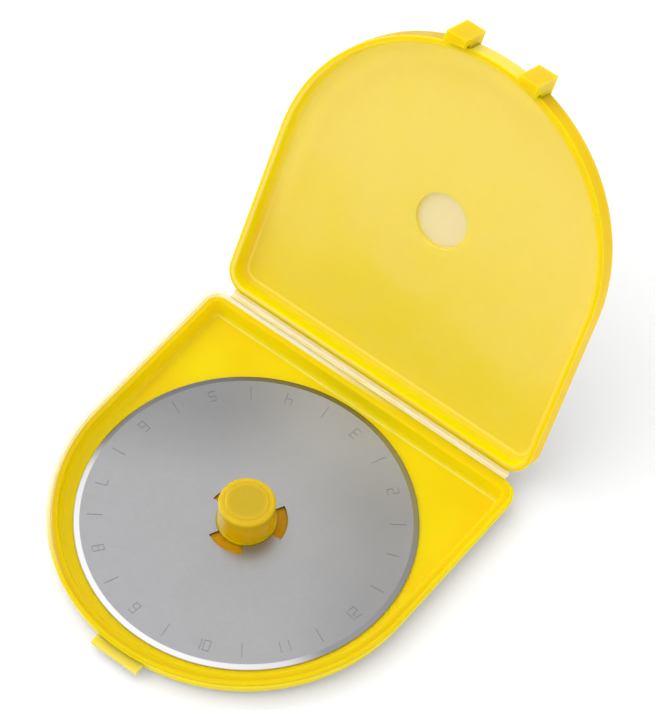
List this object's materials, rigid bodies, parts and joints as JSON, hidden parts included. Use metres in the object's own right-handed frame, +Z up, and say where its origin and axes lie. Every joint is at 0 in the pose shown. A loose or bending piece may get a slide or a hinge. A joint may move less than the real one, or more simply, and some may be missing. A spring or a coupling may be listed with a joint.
{
  "type": "rotary cutter blade case",
  "caption": "Open clamshell plastic case, D-shaped, with a living-hinge lid and snap hooks, holding a round rotary-cutter blade on a central post.",
  "frame": {"origin": "on the blade post's axis at the underside of the tray", "axes": "+Z up along the post, +Y towards the hinge, X along the hinge line, left at -X"},
  "size_m": [0.0514, 0.0797, 0.051],
  "materials": {
    "case_plastic": "translucent moulded polypropylene, soft gloss, deep yellow where thick",
    "lid_plastic": "the same polypropylene, paler because the plate is thin",
    "hinge_plastic": "the same polypropylene, almost colourless at hinge thickness",
    "blade_steel": "satin-ground tool steel with a bright ground bevel and stamped marks"
  },
  "bodies": {
    "case_base": {"base_tray": "case_plastic", "blade_post": "case_plastic", "thumb_tab": "case_plastic", "living_hinge": "hinge_plastic"},
    "lid": {"lid_shell": "lid_plastic"},
    "hook_left": {"latch_hook_left": "case_plastic"},
    "hook_right": {"latch_hook_right": "case_plastic"},
    "blade": {"rotary_blade": "blade_steel"}
  },
  "joints": [
    {"name": "lid_hinge", "type": "hinge", "parent": "case_base", "child": "lid", "pos_m": [0, 0.0258, 0.00332], "axis": [-1, 0, 0], "range_deg": [-117, 63], "deforming": ["living_hinge"]},
    {"name": "hook_left_flex", "type": "hinge", "parent": "lid", "child": "hook_left", "pos_m": [0, 0.05117, 0.04579], "axis": [-1, 0, 0], "range_deg": [0, 4]},
    {"name": "hook_right_flex", "type": "hinge", "parent": "lid", "child": "hook_right", "pos_m": [0, 0.05117, 0.04579], "axis": [-1, 0, 0], "range_deg": [0, 4]},
    {"name": "blade_spin", "type": "hinge", "parent": "case_base", "child": "blade", "pos_m": [0, 0, 0.00117], "axis": [0, 0, 1], "continuous": true}
  ]
}
